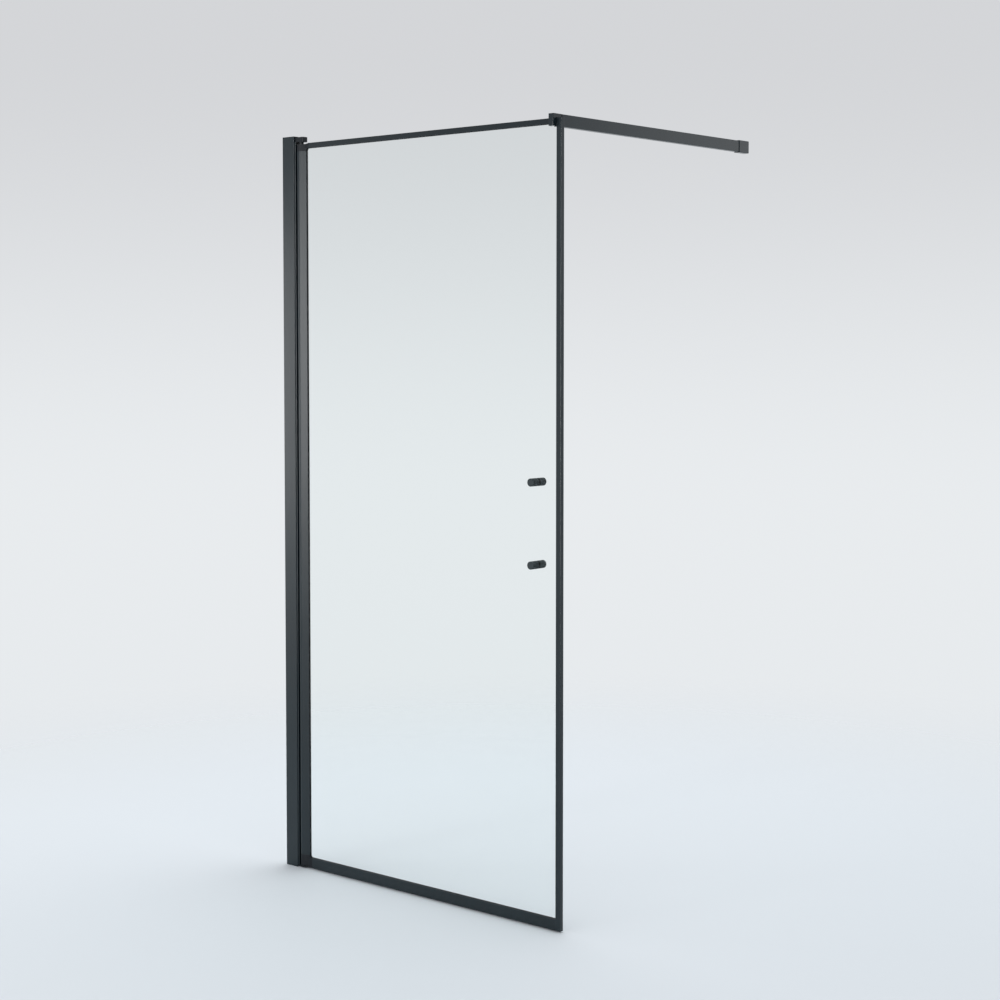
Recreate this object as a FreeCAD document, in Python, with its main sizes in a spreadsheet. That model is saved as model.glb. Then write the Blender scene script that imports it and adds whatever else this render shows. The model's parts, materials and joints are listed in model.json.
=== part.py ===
"""Framed pivot shower screen with a wall channel, a glass door and a support bar.

Millimetres, +Z up. The origin is on the wall behind the channel, at floor level, on the mid-plane of
the door. +X runs along the screen to its free edge and +Y runs into the shower.
"""
import FreeCAD, Part
import math
import os

import Sketcher

SIZES = {
    # whole screen
    "overall_height": 2000.0,
    "screen_width": 967.0,
    "frame_drop": 20.0,
    "floor_gap": 3.0,
    "pivot_offset": 60.0,
    # wall channel
    "channel_face": 44.0,
    "channel_depth": 26.4,
    "channel_wall": 2.0,
    "channel_web": 2.5,
    "channel_lid": 1.5,
    "channel_lid_rib": 8.0,
    "wall_hole_radius": 3.0,
    "wall_hole_inset": 100.0,
    # hinge post that slides in the channel
    "post_gap": 0.2,
    "post_wall": 2.0,
    "post_tail": 8.0,
    "post_lip": 2.5,
    "post_lip_wall": 1.7,
    "post_edge_radius": 1.2,
    "adjust_in": 4.0,
    "adjust_out": 16.0,
    "clamp_offset": 30.0,
    "clamp_inset": 300.0,
    "clamp_screw_radius": 2.5,
    "clamp_head_radius": 4.5,
    "clamp_head": 2.3,
    "clamp_slot_gap": 0.3,
    "clamp_nut_side": 10.0,
    "clamp_nut_depth": 5.0,
    "hinge_gap": 2.5,
    "hinge_seal_width": 6.0,
    "hinge_seal_gap": 0.4,
    # pivots
    "cap_height": 13.5,
    "cap_gap": 4.0,
    "cap_depth": 19.0,
    "cap_reach": 15.5,
    "cap_corner_radius": 4.0,
    "cap_boss_radius": 6.5,
    "cap_boss_gap": 0.3,
    "plate_height": 4.0,
    "plate_foot": 2.5,
    "nose_offset": 6.5,
    "nose_gap": 1.0,
    "block_setback": 4.0,
    "block_screw_margin": 6.0,
    "plug_length": 38.0,
    "plug_fit": 0.1,
    "pin_radius": 4.0,
    "pin_engagement": 22.0,
    "pin_gap": 0.05,
    "pin_cover": 1.0,
    "bush_wall": 2.0,
    "bush_flange": 1.0,
    "bush_flange_radius": 7.0,
    "thrust_washer": 1.0,
    # door frame
    "stile_radius": 12.0,
    "stile_reach": 23.5,
    "stile_glass_depth": 9.0,
    "stile_wall": 3.0,
    "stile_chamber_nose": 7.5,
    "stile_chamber_depth": 14.5,
    "corner_reach": 10.0,
    "corner_fillet": 7.0,
    "corner_drop": 2.0,
    "spigot_length": 30.0,
    "frame_depth": 12.0,
    "frame_wall": 2.0,
    "frame_edge_radius": 1.5,
    "top_rail_face": 14.0,
    "bottom_rail_face": 28.0,
    "bottom_rail_floor": 6.0,
    "bottom_chamber": 12.0,
    "free_stile_face": 15.0,
    "tongue_length": 24.0,
    "tongue_fit": 0.1,
    "cleat_leg": 48.0,
    "frame_screw_radius": 1.3,
    "frame_screw_head_radius": 2.4,
    "frame_screw_head": 1.3,
    "frame_screw_length": 7.0,
    "sweep_width": 3.0,
    "sweep_groove": 4.0,
    "sweep_drop": 2.2,
    # glass and its gaskets
    "glass_thickness": 5.0,
    "glass_bite": 6.0,
    "gasket_leg": 1.0,
    "gasket_base": 1.0,
    "gasket_lip": 0.5,
    # knobs
    "knob_radius": 10.0,
    "knob_length": 23.0,
    "knob_edge": 1.0,
    "knob_inset": 79.0,
    "knob_height": 1000.0,
    "knob_spacing": 203.0,
    "knob_bore": 12.0,
    "knob_stud_radius": 3.0,
    "knob_sleeve_wall": 1.5,
    "knob_washer": 1.0,
    "knob_washer_radius": 9.5,
    # support bar, its saddle and its wall socket
    "bar_width": 15.0,
    "bar_height": 30.0,
    "bar_wall": 1.5,
    "bar_edge_radius": 1.5,
    "bar_rise": 10.0,
    "bar_inset": 16.0,
    "back_wall": 826.0,
    "saddle_front": 17.7,
    "saddle_back": 14.0,
    "saddle_pad": 0.8,
    "saddle_edge_radius": 1.6,
    "saddle_screw_radius": 2.5,
    "strike_plate": 1.5,
    "strike_margin": 2.0,
    "catch_gap": 0.3,
    "bar_plug_lid": 2.5,
    "bar_plug_length": 20.0,
    "bar_plug_fit": 0.1,
    "magnet_width": 8.0,
    "magnet_height": 18.0,
    "magnet_length": 6.0,
    "socket_length": 45.0,
    "socket_wall": 1.4,
    "socket_fit": 0.1,
    "socket_base": 5.0,
    "socket_room": 6.0,
    "socket_edge_radius": 2.0,
    "socket_hole_radius": 2.25,
    "socket_hole_spacing": 18.0,
    "socket_screw_radius": 2.0,
}

WALL_HOLES = 4
CLAMPS = 3

doc = FreeCAD.newDocument("shower_screen")
sheet = doc.addObject("Spreadsheet::Sheet", "sizes")
nodes = []


class Size:
    """A length that knows its value and the formula that ties it to the sheet."""

    def __init__(self, value, formula):
        self.value = value
        self.formula = formula

    def __add__(self, other):
        other = as_size(other)
        return Size(self.value + other.value, f"({self.formula} + {other.formula})")

    def __sub__(self, other):
        other = as_size(other)
        return Size(self.value - other.value, f"({self.formula} - {other.formula})")

    def __mul__(self, other):
        other = as_size(other)
        return Size(self.value * other.value, f"({self.formula} * {other.formula})")

    def __truediv__(self, other):
        other = as_size(other)
        return Size(self.value / other.value, f"({self.formula} / {other.formula})")

    def __neg__(self):
        return Size(-self.value, f"(0 - {self.formula})")

    def root(self):
        return Size(math.sqrt(self.value), f"sqrt({self.formula})")


def as_size(number):
    """Let a plain number stand beside a size."""
    if isinstance(number, Size):
        return number
    return Size(float(number), f"({float(number)})")


class Sheet:
    """The driving dimensions, each in its own cell under its own name."""

    def __init__(self, values):
        for row, (name, value) in enumerate(values.items(), start=1):
            sheet.set(f"A{row}", name)
            sheet.set(f"B{row}", str(value))
            sheet.setAlias(f"B{row}", name)
        doc.recompute()
        for name in values:
            setattr(self, name, Size(float(sheet.get(name)), f"sizes.{name}"))


def bind(thing, prop, size):
    """Set one property of an object from a size, and keep it tied to the sheet."""
    thing.setExpression(prop, as_size(size).formula)


def place(thing, x=0, y=0, z=0):
    """Stand an object at a place that follows the sheet."""
    for letter, size in zip("xyz", (x, y, z)):
        bind(thing, f"Placement.Base.{letter}", size)


def node(thing, label):
    """Name a finished sub-part and put it on the list of pieces."""
    thing.Label = label
    nodes.append(thing)
    return thing


def span(ends):
    """Length between two ends."""
    return as_size(ends[1]) - ends[0]


def block(x, y, z):
    """A box between two ends along each axis."""
    thing = doc.addObject("Part::Box", "block")
    for prop, ends in zip(("Length", "Width", "Height"), (x, y, z)):
        bind(thing, prop, span(ends))
    place(thing, x[0], y[0], z[0])
    return thing


TURNS = {
    "x": FreeCAD.Rotation(FreeCAD.Vector(0, 1, 0), 90),
    "y": FreeCAD.Rotation(FreeCAD.Vector(1, 0, 0), -90),
    "-y": FreeCAD.Rotation(FreeCAD.Vector(1, 0, 0), 90),
    "-x": FreeCAD.Rotation(FreeCAD.Vector(0, 1, 0), -90),
    "z": FreeCAD.Rotation(),
    "-z": FreeCAD.Rotation(FreeCAD.Vector(1, 0, 0), 180),
}


def rod(axis, radius, length, x=0, y=0, z=0):
    """A round bar that starts at a point and runs along an axis."""
    thing = doc.addObject("Part::Cylinder", "rod")
    bind(thing, "Radius", radius)
    bind(thing, "Height", length)
    thing.Placement.Rotation = TURNS[axis]
    place(thing, x, y, z)
    return thing


def shifted(corner, other, radius):
    """The point on the edge from a corner to its neighbour where the rounding starts."""
    x, y = as_size(corner[0]), as_size(corner[1])
    step_x = as_size(other[0]).value - x.value
    step_y = as_size(other[1]).value - y.value
    if abs(step_x) > abs(step_y):
        return (x + radius if step_x > 0 else x - radius, y)
    return (x, y + radius if step_y > 0 else y - radius)


def same_place(one, other):
    """True where two points of an outline fall together."""
    return abs(one[0].value - other[0].value) + abs(one[1].value - other[1].value) < 1e-6


def outline_points(corners):
    """Points of an outline, each with the arc that leaves it, or None for a straight run.

    A corner is (x, y), or (x, y, radius) where it is rounded between level and upright edges, or
    (x, y, radius, centre) where an arc leaves it.
    """
    points = []

    def add(point, arc):
        if points and same_place(points[-1][0], point):
            points[-1] = (point, arc)
        else:
            points.append((point, arc))

    for index, corner in enumerate(corners):
        if len(corner) == 2:
            add((as_size(corner[0]), as_size(corner[1])), None)
            continue
        if len(corner) == 4:
            x, y, radius, centre = corner
            arc_centre = (as_size(centre[0]), as_size(centre[1]))
            add((as_size(x), as_size(y)), (arc_centre, as_size(radius)))
            continue
        radius = as_size(corner[2])
        enter = shifted(corner, corners[index - 1], radius)
        leave = shifted(corner, corners[(index + 1) % len(corners)], radius)
        centre = (enter[0] + leave[0] - corner[0], enter[1] + leave[1] - corner[1])
        add(enter, (centre, radius))
        add(leave, None)
    if same_place(points[0][0], points[-1][0]):
        points.pop()
    return points


def flat(point):
    """A sketch vector at the present value of a point."""
    return FreeCAD.Vector(point[0].value, point[1].value, 0)


def draw(sketch, corners):
    """Draw a closed outline with every point and radius tied to the sheet."""
    points = outline_points(corners)
    first = sketch.GeometryCount
    starts, ends = [], []
    for index, (point, arc) in enumerate(points):
        start, end = flat(point), flat(points[(index + 1) % len(points)][0])
        if arc is None:
            sketch.addGeometry(Part.LineSegment(start, end), False)
            starts.append(1)
            ends.append(2)
            continue
        centre = flat(arc[0])
        one, two = start - centre, end - centre
        turns_left = one.cross(two).z > 0
        low, high = (start, end) if turns_left else (end, start)
        circle = Part.Circle(centre, FreeCAD.Vector(0, 0, 1), arc[1].value)
        arc_of = Part.ArcOfCircle(circle, circle.parameter(low), circle.parameter(high))
        sketch.addGeometry(arc_of, False)
        starts.append(1 if turns_left else 2)
        ends.append(2 if turns_left else 1)

    def hold(kind, where, size):
        number = sketch.addConstraint(Sketcher.Constraint(kind, *where, size.value))
        bind(sketch, f"Constraints[{number}]", size)

    for index, (point, arc) in enumerate(points):
        here = first + index
        following = (index + 1) % len(points)
        joint = (here, ends[index], first + following, starts[following])
        sketch.addConstraint(Sketcher.Constraint("Coincident", *joint))
        hold("DistanceX", (-1, 1, here, starts[index]), point[0])
        hold("DistanceY", (-1, 1, here, starts[index]), point[1])
        if arc is not None:
            hold("Radius", (here,), arc[1])


def sketched_body(plane, outlines):
    """A body with one sketch on one of its own origin planes."""
    body = doc.addObject("PartDesign::Body", "body")
    sketch = body.newObject("Sketcher::SketchObject", "outline")
    origin = [face for face in body.Origin.OriginFeatures if face.Role == plane]
    sketch.AttachmentSupport = [(origin[0], "")]
    sketch.MapMode = "FlatFace"
    for corners in outlines:
        draw(sketch, corners)
    return body, sketch


def extrude(axis, outlines, ends):
    """A profile along x, y or z: outlines are in (y, z), (x, z) or (x, y), the first is the outside."""
    planes = {"x": "YZ_Plane", "y": "XZ_Plane", "z": "XY_Plane"}
    body, sketch = sketched_body(planes[axis], outlines)
    pad = body.newObject("PartDesign::Pad", "pad")
    pad.Profile = sketch
    pad.Reversed = axis == "y"
    bind(pad, "Length", span(ends))
    place(body, **{axis: ends[0]})
    return body


def turned(axis, corners, x=0, y=0, z=0):
    """A lathe piece: corners are in (radius, distance along the axis)."""
    body, sketch = sketched_body("XZ_Plane", [corners])
    revolution = body.newObject("PartDesign::Revolution", "revolution")
    revolution.Profile = sketch
    revolution.ReferenceAxis = (sketch, ["V_Axis"])
    revolution.Angle = 360.0
    body.Placement.Rotation = TURNS[axis]
    place(body, x, y, z)
    return body


def fuse(*things):
    """Join blanks of one piece."""
    joined = doc.addObject("Part::MultiFuse", "joined")
    joined.Shapes = list(things)
    joined.Refine = True
    return joined


def cut(base, *tools):
    """Take tools away from a blank."""
    left = doc.addObject("Part::Cut", "cut")
    left.Base = base
    left.Tool = tools[0] if len(tools) == 1 else fuse(*tools)
    return left


def common(one, other):
    """What two blanks share."""
    shared = doc.addObject("Part::Common", "shared")
    shared.Base = one
    shared.Tool = other
    return shared


def group(things):
    """Like pieces kept together as separate solids."""
    bundle = doc.addObject("Part::Compound", "group")
    bundle.Links = list(things)
    return bundle


def rectangle(x, y, radius=None):
    """Corners of an upright rectangle, rounded where a radius is given."""
    corners = [(x[0], y[0]), (x[1], y[0]), (x[1], y[1]), (x[0], y[1])]
    return corners if radius is None else [(*corner, radius) for corner in corners]


def both(half):
    """The two ends of a width that is centred on zero."""
    return (-half, half)


def screw_outline(head_radius, head, radius, length):
    """Head and shank of a screw, from the top of the head."""
    reach = as_size(head) + length
    return [(0, 0), (head_radius, 0), (head_radius, head), (radius, head), (radius, reach), (0, reach)]


s = Sheet(SIZES)

# Heights and places that more than one piece uses
frame_top = s.overall_height - s.frame_drop
frame_bottom = s.floor_gap
channel_half = s.channel_depth / 2
channel_top = s.overall_height - s.channel_lid
channel_inside = channel_half - s.channel_wall
post_half = channel_inside - s.post_gap
post_inside = post_half - s.post_wall
post_web_face = s.pivot_offset - s.stile_radius - s.hinge_gap
post_web_back = post_web_face - s.post_wall
block_start = s.post_tail + s.block_setback
plate_top = s.plate_foot + s.plate_height
cap_bottom = frame_top + s.cap_gap
hub_top = frame_top - s.corner_drop
cap_top = cap_bottom + s.cap_height
door_seat = plate_top + s.thrust_washer
stile_side = s.pivot_offset + s.stile_reach
corner_end = stile_side + s.corner_reach
frame_half = s.frame_depth / 2
stile_half = s.stile_glass_depth / 2
slot_half = s.glass_thickness / 2 + s.gasket_leg
top_rail_bottom = frame_top - s.top_rail_face
bottom_rail_top = frame_bottom + s.bottom_rail_face
upper_seam = top_rail_bottom - s.corner_fillet
lower_seam = bottom_rail_top + s.corner_fillet
free_side = s.screen_width - s.free_stile_face
free_slot_end = s.screen_width - s.frame_wall
glass_left = stile_side - s.glass_bite
glass_right = free_side + s.glass_bite
glass_bottom = bottom_rail_top - s.glass_bite
glass_top = top_rail_bottom + s.glass_bite
slot_left = glass_left - s.gasket_base
slot_right = glass_right + s.gasket_base
slot_bottom = glass_bottom - s.gasket_base
slot_top = glass_top + s.gasket_base
tongue_half = slot_half - s.tongue_fit
chamber_top = frame_bottom + s.bottom_rail_floor + s.bottom_chamber
chamber_bottom = frame_bottom + s.bottom_rail_floor
bush_radius = s.pin_radius + s.bush_wall
bar_right = s.screen_width - s.bar_inset
bar_left = bar_right - s.bar_width
bar_middle = bar_right - s.bar_width / 2
bar_top = frame_top + s.bar_rise
bar_bottom = bar_top - s.bar_height
bar_centre = bar_top - s.bar_height / 2
strike_face = s.saddle_back + s.strike_plate
catch_face = strike_face + s.catch_gap
bar_start = catch_face + s.bar_plug_lid
socket_start = s.back_wall - s.socket_length
bar_end = s.back_wall - s.socket_base - s.socket_room


def wall_hole_heights():
    """Even steps from the lowest to the highest wall screw."""
    run = s.overall_height - s.wall_hole_inset * 2
    return [s.wall_hole_inset + run * (step / (WALL_HOLES - 1)) for step in range(WALL_HOLES)]


def clamp_heights():
    """Even steps from the lowest to the highest clamp screw."""
    run = s.overall_height - s.clamp_inset * 2
    return [s.clamp_inset + run * (step / (CLAMPS - 1)) for step in range(CLAMPS)]


def build_channel():
    """The fixed channel on the wall, with its lid."""
    edge = s.frame_edge_radius
    profile = [
        (0, -channel_half),
        (s.channel_face, -channel_half, edge),
        (s.channel_face, -channel_inside),
        (s.channel_web, -channel_inside),
        (s.channel_web, channel_inside),
        (s.channel_face, channel_inside),
        (s.channel_face, channel_half, edge),
        (0, channel_half),
    ]
    blank = extrude("z", [profile], (0, channel_top))
    holes = [rod("x", s.wall_hole_radius, s.channel_web, z=height) for height in wall_hole_heights()]
    for height in clamp_heights():
        holes.append(rod("y", s.clamp_screw_radius, channel_half, x=s.clamp_offset, z=height))
    node(cut(blank, *holes), "wall_channel")

    plan = [
        (0, -channel_half),
        (s.channel_face, -channel_half, edge),
        (s.channel_face, channel_half, edge),
        (0, channel_half),
    ]
    lid = extrude("z", [plan], (channel_top, s.overall_height))
    rib_x = (s.channel_web + s.plug_fit, s.channel_web + s.channel_wall)
    rib = block(rib_x, both(channel_inside - s.plug_fit), (channel_top - s.channel_lid_rib, channel_top))
    node(fuse(lid, rib), "channel_lid")


def build_clamps():
    """Screws through the back of the channel that hold the post by nuts inside it."""
    screws, nuts = [], []
    outline = screw_outline(
        s.clamp_head_radius,
        s.clamp_head,
        s.clamp_screw_radius,
        channel_half - post_inside + s.clamp_nut_depth,
    )
    half = s.clamp_nut_side / 2
    for height in clamp_heights():
        at = {"x": s.clamp_offset, "z": height}
        screws.append(turned("-y", outline, y=channel_half + s.clamp_head, **at))
        blank = block(
            (s.clamp_offset - half, s.clamp_offset + half),
            (post_inside - s.clamp_nut_depth, post_inside),
            (height - half, height + half),
        )
        nuts.append(cut(blank, rod("y", s.clamp_screw_radius, channel_half, **at)))
    node(group(screws), "clamp_screws")
    node(group(nuts), "clamp_nuts")


def block_screw_places():
    """Where the two screws of each hinge block stand: distance from the wall, and height."""
    along = [block_start + s.block_screw_margin, post_web_back - s.block_screw_margin]
    heights = [cap_bottom - s.plug_length / 2, plate_top + s.plug_length / 2]
    return [(x, height) for height in heights for x in along]


def build_post():
    """The hinge post that telescopes out of the channel, with its seal and block screws."""
    tip = post_web_face + s.post_lip
    lip_inside = post_half - s.post_lip_wall
    profile = [
        (s.post_tail, -post_half),
        (tip, -post_half, s.post_edge_radius),
        (tip, -lip_inside),
        (post_web_face, -lip_inside),
        (post_web_face, lip_inside),
        (tip, lip_inside),
        (tip, post_half, s.post_edge_radius),
        (s.post_tail, post_half),
        (s.post_tail, post_inside),
        (post_web_back, post_inside),
        (post_web_back, -post_inside),
        (s.post_tail, -post_inside),
    ]
    blank = extrude("z", [profile], (plate_top, cap_bottom))
    radius = s.clamp_screw_radius + s.clamp_slot_gap
    slot_x = (s.clamp_offset - s.adjust_out - radius, s.clamp_offset + s.adjust_in + radius)
    tools = []
    for height in clamp_heights():
        outline = rectangle(slot_x, (height - radius, height + radius), radius)
        tools.append(extrude("y", [outline], (0, post_half)))
    screws = []
    for x, height in block_screw_places():
        outline = screw_outline(
            s.frame_screw_head_radius, s.frame_screw_head, s.frame_screw_radius, s.frame_screw_length
        )
        screws.append(turned("-y", outline, x=x, y=post_half, z=height))
        tools.append(turned("-y", outline, x=x, y=post_half, z=height))
    node(cut(blank, *tools), "hinge_post")
    node(group(screws), "hinge_block_screws")

    seal_tip = s.pivot_offset - s.stile_radius - s.hinge_seal_gap
    seal_half = s.hinge_seal_width / 2
    seal_edge = s.hinge_gap / 2
    seal = [
        (post_web_face, -seal_half),
        (seal_tip, -seal_half, seal_edge),
        (seal_tip, seal_half, seal_edge),
        (post_web_face, seal_half),
    ]
    node(extrude("z", [seal], (plate_top, cap_bottom)), "hinge_seal")


def hinge_block(half, nose, radius, boss_bottom, ends, plug_ends, label):
    """A block on one end of the post, rounded at its nose, with a boss and the plug that enters the post."""
    plan = [
        (block_start, -half),
        (nose, -half, radius),
        (nose, half, radius),
        (block_start, half),
    ]
    body = extrude("z", [plan], ends)
    boss = rod("z", s.cap_boss_radius, ends[1] - boss_bottom, x=s.pivot_offset, z=boss_bottom)
    plug_x = (block_start, post_web_back - s.plug_fit)
    plug = block(plug_x, both(post_inside - s.plug_fit), plug_ends)
    tools = [rod("z", s.pin_radius, ends[1] - boss_bottom, x=s.pivot_offset, z=boss_bottom)]
    for x, height in block_screw_places():
        low, high = plug_ends[0].value, plug_ends[1].value
        if low < height.value < high:
            drilled = s.frame_screw_head + s.frame_screw_length
            tools.append(rod("-y", s.frame_screw_radius, drilled, x=x, y=post_half, z=height))
    return node(cut(fuse(body, boss, plug), *tools), label)


def build_pivots():
    """Blocks on the post, their pins, and the bushes of the door that turn on the pins."""
    hinge_block(
        s.cap_depth / 2,
        s.pivot_offset + s.cap_reach,
        s.cap_corner_radius,
        hub_top + s.bush_flange + s.cap_boss_gap,
        (cap_bottom, cap_top),
        (cap_bottom - s.plug_length, cap_bottom),
        "upper_hinge_block",
    )
    hinge_block(
        post_half,
        s.pivot_offset + s.nose_offset + post_half,
        post_half,
        s.plate_foot,
        (s.plate_foot, plate_top),
        (plate_top, plate_top + s.plug_length),
        "lower_hinge_block",
    )

    upper_tip = hub_top - s.pin_engagement
    lower_tip = door_seat + s.pin_engagement
    tip = s.pin_radius / 4
    upper = cap_top - s.pin_cover - upper_tip
    lower = lower_tip - s.plate_foot

    def pin(length):
        return [
            (0, 0),
            (s.pin_radius, 0),
            (s.pin_radius, length - tip),
            (s.pin_radius - tip, length),
            (0, length),
        ]

    node(turned("-z", pin(upper), x=s.pivot_offset, z=cap_top - s.pin_cover), "upper_pivot_pin")
    node(turned("z", pin(lower), x=s.pivot_offset, z=s.plate_foot), "lower_pivot_pin")

    bore = s.pin_radius + s.pin_gap
    bush = s.pin_engagement + s.bush_wall
    flanged = [
        (bore, -s.bush_flange),
        (s.bush_flange_radius, -s.bush_flange),
        (s.bush_flange_radius, 0),
        (bush_radius, 0),
        (bush_radius, bush),
        (bore, bush),
    ]
    node(turned("-z", flanged, x=s.pivot_offset, z=hub_top), "upper_pivot_bush")
    plain = [(bore, 0), (bush_radius, 0), (bush_radius, bush), (bore, bush)]
    node(turned("z", plain, x=s.pivot_offset, z=door_seat), "lower_pivot_bush")
    washer = [
        (bore, 0),
        (s.bush_flange_radius, 0),
        (s.bush_flange_radius, s.thrust_washer),
        (bore, s.thrust_washer),
    ]
    node(turned("z", washer, x=s.pivot_offset, z=plate_top), "thrust_washer")


def stile_outline():
    """Round nose about the pivot, and flat sides that leave it smoothly and close in on the glass."""
    radius, reach = s.stile_radius, s.stile_reach
    pivot = (s.pivot_offset, 0)
    squared = reach * reach + stile_half * stile_half
    run = (squared - radius * radius).root()
    touch_x = s.pivot_offset + (radius * radius * reach - radius * run * stile_half) / squared
    touch_y = (radius * radius * stile_half + radius * run * reach) / squared
    return [
        (touch_x, -touch_y),
        (stile_side, -stile_half),
        (stile_side, stile_half),
        (touch_x, touch_y, radius, pivot),
        (s.pivot_offset - radius, 0, radius, pivot),
    ]


stile_chamber_x = (s.pivot_offset - s.stile_chamber_nose, slot_left - s.stile_wall * 2)
stile_chamber_half = s.stile_chamber_depth / 2


def spigot_screw(height):
    """Screw from the glass slot into a corner's spigot: outline and place."""
    outline = screw_outline(
        s.frame_screw_head_radius,
        s.frame_screw_head,
        s.frame_screw_radius,
        s.frame_screw_length + s.stile_wall,
    )
    return {"axis": "-x", "corners": outline, "x": slot_left, "z": height}


def tongue_screw(x, height):
    """Screw through the back of a rail into the tongue inside it: outline and place."""
    outline = screw_outline(
        s.frame_screw_head_radius, s.frame_screw_head, s.frame_screw_radius, s.frame_screw_length
    )
    return {"axis": "-y", "corners": outline, "x": x, "y": frame_half, "z": height}


upper_tongue_z = (slot_top + s.tongue_fit, frame_top - s.frame_wall - s.tongue_fit)
lower_tongue_z = (chamber_bottom + s.tongue_fit, chamber_top - s.tongue_fit)
upper_tongue_middle = (upper_tongue_z[0] + upper_tongue_z[1]) / 2
lower_tongue_middle = (lower_tongue_z[0] + lower_tongue_z[1]) / 2
hinge_tongue_x = (corner_end, corner_end + s.tongue_length)
free_tongue_x = (free_side - s.tongue_length, free_side)
upper_spigot_screw = spigot_screw(upper_seam - s.spigot_length / 2)
lower_spigot_screw = spigot_screw(lower_seam + s.spigot_length / 2)
hinge_screw_x = corner_end + s.tongue_length / 2
free_screw_x = free_side - s.tongue_length / 2
tongue_screws = {
    "upper_hinge": tongue_screw(hinge_screw_x, upper_tongue_middle),
    "upper_free": tongue_screw(free_screw_x, upper_tongue_middle),
    "lower_hinge": tongue_screw(hinge_screw_x, lower_tongue_middle),
    "lower_free": tongue_screw(free_screw_x, lower_tongue_middle),
}


def build_hinge_stile():
    """Long round-nosed profile between the two moulded corners."""
    chamber = rectangle(stile_chamber_x, both(stile_chamber_half))
    blank = extrude("z", [stile_outline(), chamber], (lower_seam, upper_seam))
    slot = block((slot_left, stile_side), both(slot_half), (lower_seam, upper_seam))
    screws = [turned(**upper_spigot_screw), turned(**lower_spigot_screw)]
    node(cut(blank, slot, *screws), "hinge_stile")


corner_arm_x = (stile_side - s.glass_bite, corner_end)


def hinge_corner(body_z, arm, web_z, curve_z, spigot_z, tongue_z, tools, label):
    """Moulded corner: stile section, rail arm, small inner curve, spigot and tongue."""
    stile_part = extrude("z", [stile_outline()], body_z)
    curve_x = stile_side + s.corner_fillet
    web = block((corner_arm_x[0], curve_x), both(stile_half), web_z)
    hollow = rod("y", s.corner_fillet, s.frame_depth, x=curve_x, y=-frame_half, z=curve_z)
    spigot_x = (stile_chamber_x[0] + s.tongue_fit, stile_chamber_x[1] - s.tongue_fit)
    spigot = block(spigot_x, both(stile_chamber_half - s.tongue_fit), spigot_z)
    tongue = block(hinge_tongue_x, both(tongue_half), tongue_z)
    solid = fuse(stile_part, arm, cut(web, hollow), spigot, tongue)
    return node(cut(solid, *tools), label)


def build_hinge_corners():
    """The two moulded corners that carry the pivots."""
    edge = s.frame_edge_radius
    bush = s.pin_engagement + s.bush_wall
    past_corner = corner_end + s.corner_reach
    upper_section = [
        (-frame_half, top_rail_bottom),
        (frame_half, top_rail_bottom),
        (frame_half, frame_top, edge),
        (-frame_half, frame_top, edge),
    ]
    upper_slope = [
        (corner_arm_x[0], top_rail_bottom),
        (corner_end, top_rail_bottom),
        (corner_end, frame_top),
        (stile_side, hub_top),
        (corner_arm_x[0], hub_top),
    ]
    upper_arm = common(
        extrude("x", [upper_section], corner_arm_x), extrude("y", [upper_slope], both(frame_half))
    )
    upper_tools = [
        block((slot_left, past_corner), both(slot_half), (upper_seam, slot_top)),
        rod("-z", bush_radius, bush, x=s.pivot_offset, z=hub_top),
        turned(**upper_spigot_screw),
        turned(**tongue_screws["upper_hinge"]),
    ]
    hinge_corner(
        (upper_seam, hub_top),
        upper_arm,
        (upper_seam, top_rail_bottom),
        upper_seam,
        (upper_seam - s.spigot_length, upper_seam),
        upper_tongue_z,
        upper_tools,
        "upper_hinge_corner",
    )
    lower_section = [
        (-frame_half, frame_bottom, edge),
        (frame_half, frame_bottom, edge),
        (frame_half, bottom_rail_top),
        (-frame_half, bottom_rail_top),
    ]
    sweep_radius = s.nose_offset + post_half + s.nose_gap
    lower_tools = [
        block((slot_left, past_corner), both(slot_half), (slot_bottom, lower_seam)),
        rod("z", bush_radius, bush, x=s.pivot_offset, z=door_seat),
        rod("z", sweep_radius, door_seat - frame_bottom, x=s.pivot_offset, z=frame_bottom),
        turned(**lower_spigot_screw),
        turned(**tongue_screws["lower_hinge"]),
    ]
    hinge_corner(
        (frame_bottom, lower_seam),
        extrude("x", [lower_section], corner_arm_x),
        (bottom_rail_top, lower_seam),
        lower_seam,
        (lower_seam, lower_seam + s.spigot_length),
        lower_tongue_z,
        lower_tools,
        "lower_hinge_corner",
    )


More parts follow.
